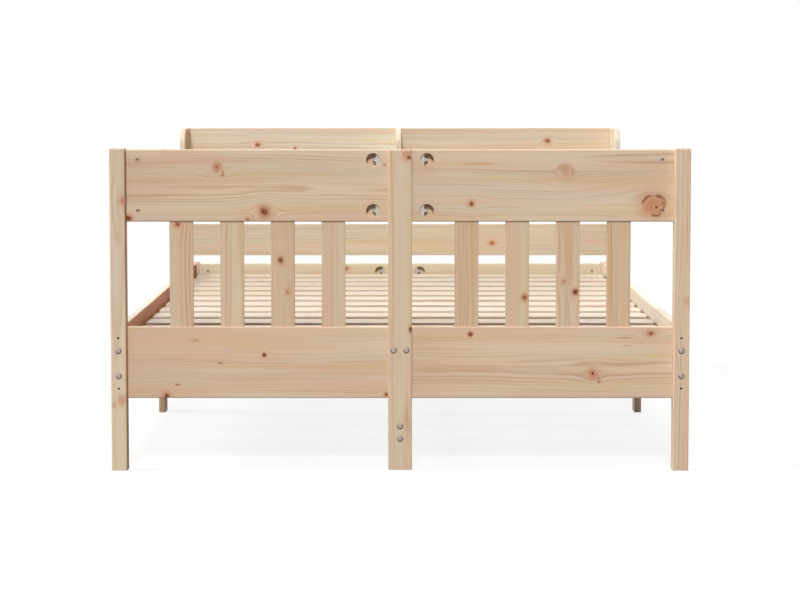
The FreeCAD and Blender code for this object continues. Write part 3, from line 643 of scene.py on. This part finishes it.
def pine(node):
    """Bare sanded pine with the grain along the board."""
    board = Board(node)
    chance = random.Random(node)
    seed = chance.uniform(*SEEDS)
    material, wiring, shader = shaded_material("pine_" + node)
    bed_point = wiring.node("ShaderNodeTexCoord").outputs["Object"]
    offset = wiring.split(wiring.vector("SUBTRACT", bed_point, board.centre))
    point = wiring.join(*[offset[axis] for axis in board.axes])

    # Knots run straight through the board.
    flat = wiring.vector("MULTIPLY", point, (1.0, 1.0, 0.0))
    swerve = 0.0
    knots = []
    for centre, radius, stretch, heart, depth, parting in board_knots(node, board, chance):
        centre.z = 0.0
        knot = wiring.group(PINE_GROUPS["knot"], {
            "Board Point": flat, "Centre": centre, "Radius": radius, "Stretch": stretch})
        swerve = wiring.math("MULTIPLY_ADD", knot["Swerve"], parting, swerve)
        knots.append((radius, knot["Distance"], heart, depth))

    staves = max(1, round(board.width / STAVE_WIDTH))
    pith_depth = chance.choice((-1, 1)) * chance.uniform(*PITH_DEPTHS)
    ring_width = chance.uniform(*RING_WIDTHS)
    grain = wiring.group(PINE_GROUPS["grain"], {
        "Board Point": point, "Swerve": swerve, "Seed": seed, "Half Width": board.width / 2,
        "Stave Width": board.width / staves, "Pith Depth": pith_depth, "Ring Width": ring_width})
    wood = wiring.group(PINE_GROUPS["wood"], {
        "Board Point": point, "Latewood": grain["Latewood"], "Stave Tone": grain["Stave Tone"], "Seed": seed,
        "Half Size": Vector((board.length, board.width, board.thickness)) / 2})
    colour = wiring.mix(1.0, wood["Color"], tint(node) + (1.0,), "MULTIPLY")
    # Painted shade on the right-facing side and painted light on the left-facing side, within a few
    # millimetres of it.
    for faces, side in ((PAINTED_SHADE_FACES, board.right), (PAINTED_LIGHT_FACES, board.left)):
        if node in faces:
            across_bed = wiring.split(bed_point)[0]
            inwards = wiring.math("ABSOLUTE", wiring.math("SUBTRACT", side, across_bed))
            changed = wiring.mix(1.0, colour, faces[node] + (1.0,), "MULTIPLY")
            colour = wiring.mix(wiring.step(inwards, 0.0, SIDE_FACE_DEPTH, 1.0, 0.0), colour, changed)
    for radius, distance, heart, depth in knots:
        colour = wiring.group(PINE_GROUPS["knot colour"], {
            "Wood": colour, "Board Point": point, "Radius": radius, "Distance": distance, "Heart": heart,
            "Depth": depth})["Color"]
    bump = wiring.node("ShaderNodeBump", {
        "Strength": RELIEF_STRENGTH, "Distance": RELIEF_HEIGHT, "Height": wood["Relief"]})
    wiring.feed(shader.inputs["Base Color"], colour)
    wiring.feed(shader.inputs["Roughness"], wood["Roughness"])
    wiring.feed(shader.inputs["Normal"], bump.outputs["Normal"])
    shader.inputs["Specular IOR Level"].default_value = PINE_SHINE
    return material


# Beech and zinc: noise in a metre, and what it does
BEECH_TONE_NOISE = 90.0
BEECH_RAY_NOISE = (900.0, 900.0, 500.0)
BEECH_RAY_LEVELS = (0.56, 0.68)
BEECH_RAY_COVER = 0.6
BEECH_RAY_ROUGHNESS = 0.2
BEECH_ROUGHNESS = 0.45
ZINC_CLOUD_NOISE = 260.0
ZINC_CLOUD_SHINE = 0.2
ZINC_SCRATCH_NOISE = (900.0, 900.0, 6000.0)
ZINC_SCRATCH_ROUGHNESS = 0.22
ZINC_ROUGHNESS = 0.3
PALE_ZINC_SHINE = 0.2
DARK_ZINC_SHINE = 0.25


def beech():
    """Turned beech with short dark rays."""
    material, wiring, shader = shaded_material("beech_dowel")
    point = wiring.node("ShaderNodeTexCoord").outputs["Object"]
    rays = wiring.noise(wiring.vector("MULTIPLY", point, BEECH_RAY_NOISE), 1.0, 2.0)["Fac"]
    tone = wiring.noise(point, BEECH_TONE_NOISE, 2.0)["Fac"]
    colour = wiring.mix(tone, PALE_BEECH, DARK_BEECH)
    colour = wiring.mix(wiring.step(rays, *BEECH_RAY_LEVELS, 0.0, BEECH_RAY_COVER), colour, BEECH_RAY)
    roughness = wiring.math("MULTIPLY_ADD", rays, BEECH_RAY_ROUGHNESS, BEECH_ROUGHNESS)
    wiring.feed(shader.inputs["Base Color"], colour)
    wiring.feed(shader.inputs["Roughness"], roughness)
    return material


def zinc_steel(name, dark, light, shine):
    """Dull zinc plating with clouds and fine scratches, and a painted shade on the rims of bolt heads."""
    material, wiring, shader = shaded_material(name)
    point = wiring.node("ShaderNodeTexCoord").outputs["Object"]
    cloud = wiring.noise(point, ZINC_CLOUD_NOISE, 3.0)["Fac"]
    scratch = wiring.noise(wiring.vector("MULTIPLY", point, ZINC_SCRATCH_NOISE), 1.0, 2.0)["Fac"]
    # A painted shade: bolt heads darken towards their rims, where the bolt tree stores it as rim.
    rim = wiring.node("ShaderNodeAttribute", attribute_name="rim").outputs["Fac"]
    roughness = wiring.math("MULTIPLY_ADD", scratch, ZINC_SCRATCH_ROUGHNESS, ZINC_ROUGHNESS)
    wiring.feed(shader.inputs["Base Color"], wiring.mix(rim, wiring.mix(cloud, dark, light), BOLT_RIM_SHADE))
    wiring.feed(shader.inputs["Roughness"], roughness)
    wiring.feed(shader.inputs["Metallic"], wiring.math("MULTIPLY_ADD", cloud, ZINC_CLOUD_SHINE, shine))
    return material


def dress(node, material):
    """Gives a node of the frame one material."""
    mesh = frame["nodes"][node].data
    mesh.materials.clear()
    mesh.materials.append(material)


# Hardware

def separate_solids(node):
    """The corner points of each separate solid of a node."""
    copy = bmesh.new()
    copy.from_mesh(frame["nodes"][node].data)
    bmesh.ops.remove_doubles(copy, verts=copy.verts, dist=MERGE_DISTANCE)
    seen = set()
    solids = []
    for first in copy.verts:
        if first in seen:
            continue
        seen.add(first)
        waiting = [first]
        points = []
        while waiting:
            vertex = waiting.pop()
            points.append(vertex.co.copy())
            for edge in vertex.link_edges:
                other = edge.other_vert(vertex)
                if other not in seen:
                    seen.add(other)
                    waiting.append(other)
        solids.append(points)
    copy.free()
    return solids


def axis_place(points):
    """The middle of a long thin solid, the way that its wider end faces, and its length."""
    low = Vector([min(point[axis] for point in points) for axis in range(3)])
    high = Vector([max(point[axis] for point in points) for axis in range(3)])
    middle = (low + high) / 2
    size = high - low
    long_axis = max(range(3), key=lambda axis: size[axis])

    def off_axis(point):
        return math.hypot(*[point[axis] - middle[axis] for axis in range(3) if axis != long_axis])

    widest = max(points, key=off_axis)
    outward = Vector((0.0, 0.0, 0.0))
    outward[long_axis] = 1.0 if widest[long_axis] > middle[long_axis] else -1.0
    return middle, outward, size[long_axis]


def turned(wiring):
    """The turn that stands a piece, made along Z, along the outward direction of its point."""
    outward = wiring.node("GeometryNodeInputNamedAttribute", {"Name": "outward"}, data_type="FLOAT_VECTOR")
    direction = outward.outputs["Attribute"]
    made = wiring.node("FunctionNodeAlignRotationToVector", {"Vector": direction}, axis="Z")
    return made.outputs["Rotation"]


def finish_tree(wiring, put, instances, material):
    """Makes instances plain geometry with crisp edges and one material."""
    joined = wiring.node("GeometryNodeJoinGeometry")
    for piece in instances:
        wiring.feed(joined.inputs[0], piece)
    plain = wiring.node("GeometryNodeRealizeInstances", {0: joined.outputs[0]}).outputs[0]
    smooth = wiring.node("GeometryNodeSetShadeSmooth", {"Geometry": plain, "Shade Smooth": True}).outputs[0]
    angle = wiring.node("GeometryNodeInputMeshEdgeAngle").outputs["Unsigned Angle"]
    sharp = wiring.math("GREATER_THAN", angle, SHARP_ANGLE)
    crisp = wiring.node("GeometryNodeSetShadeSmooth", {
        "Geometry": smooth, "Selection": sharp, "Shade Smooth": False}, domain="EDGE").outputs[0]
    made = wiring.node("GeometryNodeSetMaterial", {"Geometry": crisp, "Material": material})
    wiring.feed(put["Geometry"], made.outputs[0])


def bolt_tree():
    """Bolts with low sloping heads and hexagon sockets, seated at points and reaching into the wood."""
    wiring, given, put = node_group(
        "GeometryNodeTree", "furniture bolts",
        {"Geometry": "Geometry", "Head Radius": "Float", "Head Height": "Float", "Shank Radius": "Float",
         "Socket Width": "Float", "Steel": "Material"},
        {"Geometry": "Geometry"})
    radius = given["Head Radius"]
    height = given["Head Height"]
    disc = wiring.node("GeometryNodeMeshCylinder", {
        "Vertices": HEAD_SIDES, "Side Segments": 2, "Fill Segments": HEAD_RINGS, "Radius": radius,
        "Depth": height}).outputs["Mesh"]
    x, y, z = wiring.split(wiring.node("GeometryNodeInputPosition").outputs[0])
    out = wiring.math("MINIMUM", wiring.math("DIVIDE", wiring.length(x, y), radius), 1.0)
    share = wiring.math("ADD", wiring.math("DIVIDE", z, height), 0.5)
    crown = wiring.math("MULTIPLY", height, wiring.step(out, *BOLT_HEAD_SLOPE, 1.0, BOLT_EDGE_HEIGHT))
    head = wiring.node("GeometryNodeSetPosition", {
        "Geometry": disc, "Position": wiring.join(x, y, wiring.math("MULTIPLY", share, crown))}).outputs[0]
    # A painted shade darkens the head towards its rim; the material reads it as rim.
    shade = wiring.step(out, *BOLT_HEAD_SHADE, 0.0, BOLT_HEAD_SHADE_DARKNESS)
    head = wiring.node("GeometryNodeStoreNamedAttribute", {
        "Geometry": head, "Name": "rim", "Value": shade}, data_type="FLOAT", domain="POINT").outputs[0]
    corner = wiring.math("DIVIDE", given["Socket Width"], math.sqrt(3))
    cutter = wiring.node("GeometryNodeMeshCylinder", {
        "Vertices": 6, "Radius": corner,
        "Depth": wiring.math("MULTIPLY", height, 2 * BOLT_SOCKET_DEPTH)}).outputs["Mesh"]
    cutter = wiring.node("GeometryNodeTransform", {
        "Geometry": cutter, "Translation": wiring.join(0.0, 0.0, height)}).outputs[0]
    head = wiring.node("GeometryNodeMeshBoolean", {
        "Mesh 1": head, "Mesh 2": cutter}, operation="DIFFERENCE").outputs[0]

    # The shank is one metre long here, and each point gives its reach.
    shank = wiring.node("GeometryNodeMeshCylinder", {
        "Vertices": SHANK_SIDES, "Radius": given["Shank Radius"], "Depth": 1.0}).outputs["Mesh"]
    shank = wiring.node("GeometryNodeTransform", {
        "Geometry": shank, "Translation": (0.0, 0.0, -0.5)}).outputs[0]
    named = wiring.node("GeometryNodeInputNamedAttribute", {"Name": "reach"}, data_type="FLOAT")
    reach = named.outputs["Attribute"]
    turn = turned(wiring)
    heads = wiring.node("GeometryNodeInstanceOnPoints", {
        "Points": given["Geometry"], "Instance": head, "Rotation": turn}).outputs[0]
    shanks = wiring.node("GeometryNodeInstanceOnPoints", {
        "Points": given["Geometry"], "Instance": shank, "Rotation": turn,
        "Scale": wiring.join(1.0, 1.0, reach)}).outputs[0]
    finish_tree(wiring, put, (heads, shanks), given["Steel"])
    return wiring.tree


def rod_tree():
    """Threaded rods about points: the radius rises and falls along a helix."""
    wiring, given, put = node_group(
        "GeometryNodeTree", "threaded rods",
        {"Geometry": "Geometry", "Length": "Float", "Radius": "Float", "Pitch": "Float",
         "Thread Depth": "Float", "Steel": "Material"},
        {"Geometry": "Geometry"})
    turns = wiring.math("DIVIDE", given["Length"], given["Pitch"])
    rod = wiring.node("GeometryNodeMeshCylinder", {
        "Vertices": THREAD_SIDES, "Side Segments": wiring.math("MULTIPLY", turns, THREAD_RINGS),
        "Radius": given["Radius"], "Depth": given["Length"]}).outputs["Mesh"]
    x, y, z = wiring.split(wiring.node("GeometryNodeInputPosition").outputs[0])
    angle = wiring.math("DIVIDE", wiring.math("ARCTAN2", y, x), 2 * math.pi)
    along = wiring.math("FRACT", wiring.math("SUBTRACT", wiring.math("DIVIDE", z, given["Pitch"]), angle))
    ridge = wiring.math("ABSOLUTE", wiring.math("MULTIPLY_ADD", along, 2.0, -1.0))
    cut = wiring.math("MULTIPLY", ridge, wiring.math("DIVIDE", given["Thread Depth"], given["Radius"]))
    keep = wiring.math("SUBTRACT", 1.0, cut)
    threaded = wiring.node("GeometryNodeSetPosition", {
        "Geometry": rod,
        "Position": wiring.join(wiring.math("MULTIPLY", x, keep), wiring.math("MULTIPLY", y, keep), z)})
    rods = wiring.node("GeometryNodeInstanceOnPoints", {
        "Points": given["Geometry"], "Instance": threaded.outputs[0], "Rotation": turned(wiring)}).outputs[0]
    finish_tree(wiring, put, (rods,), given["Steel"])
    return wiring.tree


def grown(name, tree, places, sizes, nodes):
    """A piece that a tree makes at places, standing for some nodes of the frame."""
    points = bpy.data.meshes.new(name + "_points")
    points.from_pydata([place for place, _, _ in places], [], [])
    points.attributes.new("outward", "FLOAT_VECTOR", "POINT")
    points.attributes.new("reach", "FLOAT", "POINT")
    for index, (_, direction, length) in enumerate(places):
        points.attributes["outward"].data[index].vector = direction
        points.attributes["reach"].data[index].value = length
    piece = bpy.data.objects.new(name, points)
    bpy.context.scene.collection.objects.link(piece)
    modifier = piece.modifiers.new(name, "NODES")
    modifier.node_group = tree
    for item in tree.interface.items_tree:
        if item.in_out == "INPUT" and item.name in sizes:
            modifier[item.identifier] = sizes[item.name]
    evaluated = piece.evaluated_get(bpy.context.evaluated_depsgraph_get())
    finished = bpy.data.meshes.new_from_object(evaluated)
    piece.modifiers.clear()
    piece.data = finished
    finished.name = name
    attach(piece, "root")
    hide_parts(*nodes)


def bolts(steel):
    """The bolts in the corner posts and the centre posts."""
    nodes = ("corner_bolts", "centre_bolts")
    places = []
    for node in nodes:
        for points in separate_solids(node):
            middle, outward, length = axis_place(points)
            seat = middle + outward * (length / 2 - BOLT_HEAD_HEIGHT)
            places.append((seat, outward, length - BOLT_HEAD_HEIGHT))
    sizes = {"Head Radius": BOLT_HEAD_RADIUS, "Head Height": BOLT_HEAD_HEIGHT, "Shank Radius": BOLT_RADIUS,
             "Socket Width": BOLT_SOCKET, "Steel": steel}
    grown("furniture_bolts", bolt_tree(), places, sizes, nodes)


def threaded_rods(steel):
    """The rods through the centre posts."""
    places = [axis_place(points) for points in separate_solids("centre_rods")]
    sizes = {"Length": places[0][2], "Radius": BOLT_RADIUS, "Pitch": THREAD_PITCH,
             "Thread Depth": THREAD_DEPTH, "Steel": steel}
    grown("threaded_rods", rod_tree(), places, sizes, ("centre_rods",))


# Looks of the pieces

pale_steel = zinc_steel("pale_zinc_steel", *PALE_ZINC, PALE_ZINC_SHINE)
dark_steel_with_shade = zinc_steel("dark_zinc_steel_and_shade", *DARK_ZINC, DARK_ZINC_SHINE)
dowel_wood = beech()
for part in frame["record"]["subparts"]:
    if part["material_slot"] == "zinc_steel":
        # The barrel nuts take the darker steel as a painted shade for the holes they sit in.
        dress(part["node"], dark_steel_with_shade if part["node"] == "barrel_nuts" else pale_steel)
    elif part["material_slot"] == "beech":
        dress(part["node"], dowel_wood)
    else:
        dress(part["node"], pine(part["node"]))
bolts(dark_steel_with_shade)
threaded_rods(pale_steel)


# Studio

def seen_directly(wiring):
    """One where the camera, a reflection or glass shows the surface, and zero for the light that it gives."""
    seen = wiring.node("ShaderNodeLightPath").outputs
    return wiring.math("MAXIMUM", seen["Is Camera Ray"], wiring.math(
        "MAXIMUM", seen["Is Glossy Ray"], seen["Is Transmission Ray"]))


def studio_floor():
    """A wide pale floor that keeps a light shadow."""
    half = FLOOR_SIZE / 2
    corners = [(-half, -half, 0), (half, -half, 0), (half, half, 0), (-half, half, 0)]
    mesh = bpy.data.meshes.new("studio_floor")
    mesh.from_pydata(corners, [], [(0, 1, 2, 3)])
    floor = bpy.data.objects.new("studio_floor", mesh)
    bpy.context.scene.collection.objects.link(floor)
    material, wiring, shader = shaded_material("studio_floor")
    shader.inputs["Roughness"].default_value = FLOOR_ROUGHNESS
    shader.inputs["Specular IOR Level"].default_value = 0.0
    glow = wiring.node("ShaderNodeEmission", {"Color": WHITE, "Strength": 1.0}).outputs[0]
    direct = seen_directly(wiring)
    wiring.feed(shader.inputs["Base Color"], wiring.mix(direct, FLOOR_BOUNCE, FLOOR_SEEN))
    point = wiring.node("ShaderNodeTexCoord").outputs["Object"]
    distance = wiring.node("ShaderNodeVectorMath", {0: point}, operation="LENGTH").outputs["Value"]
    share = wiring.math("MULTIPLY", direct, wiring.step(distance, *FLOOR_FADE, FLOOR_GLOW, 1.0))
    mixed = wiring.node("ShaderNodeMixShader", {0: share, 1: shader.outputs[0], 2: glow})
    wiring.feed(wiring.tree.nodes["Material Output"].inputs["Surface"], mixed.outputs[0])
    mesh.materials.append(material)


def studio_sky():
    """Even warm light, seen as plain white."""
    world = bpy.data.worlds.new("studio_sky")
    world.use_nodes = True
    bpy.context.scene.world = world
    wiring = Wiring(world.node_tree)
    background = world.node_tree.nodes["Background"]
    direct = seen_directly(wiring)
    wiring.feed(background.inputs["Color"], wiring.mix(direct, SKY_COLOUR, WHITE))
    level = wiring.math("MULTIPLY_ADD", direct, 1.0 - SKY_LEVEL, SKY_LEVEL)
    wiring.feed(background.inputs["Strength"], level)


def far_light(lamp):
    """A soft light from far off."""
    data = bpy.data.lights.new(lamp.name, "SUN")
    data.energy = lamp.level
    data.color = lamp.colour
    data.angle = lamp.spread
    light = bpy.data.objects.new(lamp.name, data)
    light.rotation_euler = lamp.source.to_track_quat("Z", "Y").to_euler()
    bpy.context.scene.collection.objects.link(light)


def foot_end_camera():
    """A camera in front of the foot end."""
    data = bpy.data.cameras.new("camera")
    data.lens = EYE_LENS
    data.sensor_width = EYE_SENSOR
    data.shift_y = EYE_SHIFT
    camera = bpy.data.objects.new("camera", data)
    foot_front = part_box("foot_post_left")[0].y
    camera.location = (0.0, foot_front - EYE_DISTANCE, EYE_HEIGHT)
    camera.rotation_euler = (math.radians(90) - EYE_TILT, 0.0, 0.0)
    bpy.context.scene.collection.objects.link(camera)
    bpy.context.scene.camera = camera


studio_floor()
studio_sky()
for lamp in LAMPS:
    far_light(lamp)
foot_end_camera()
bpy.context.scene.view_settings.view_transform = "Standard"
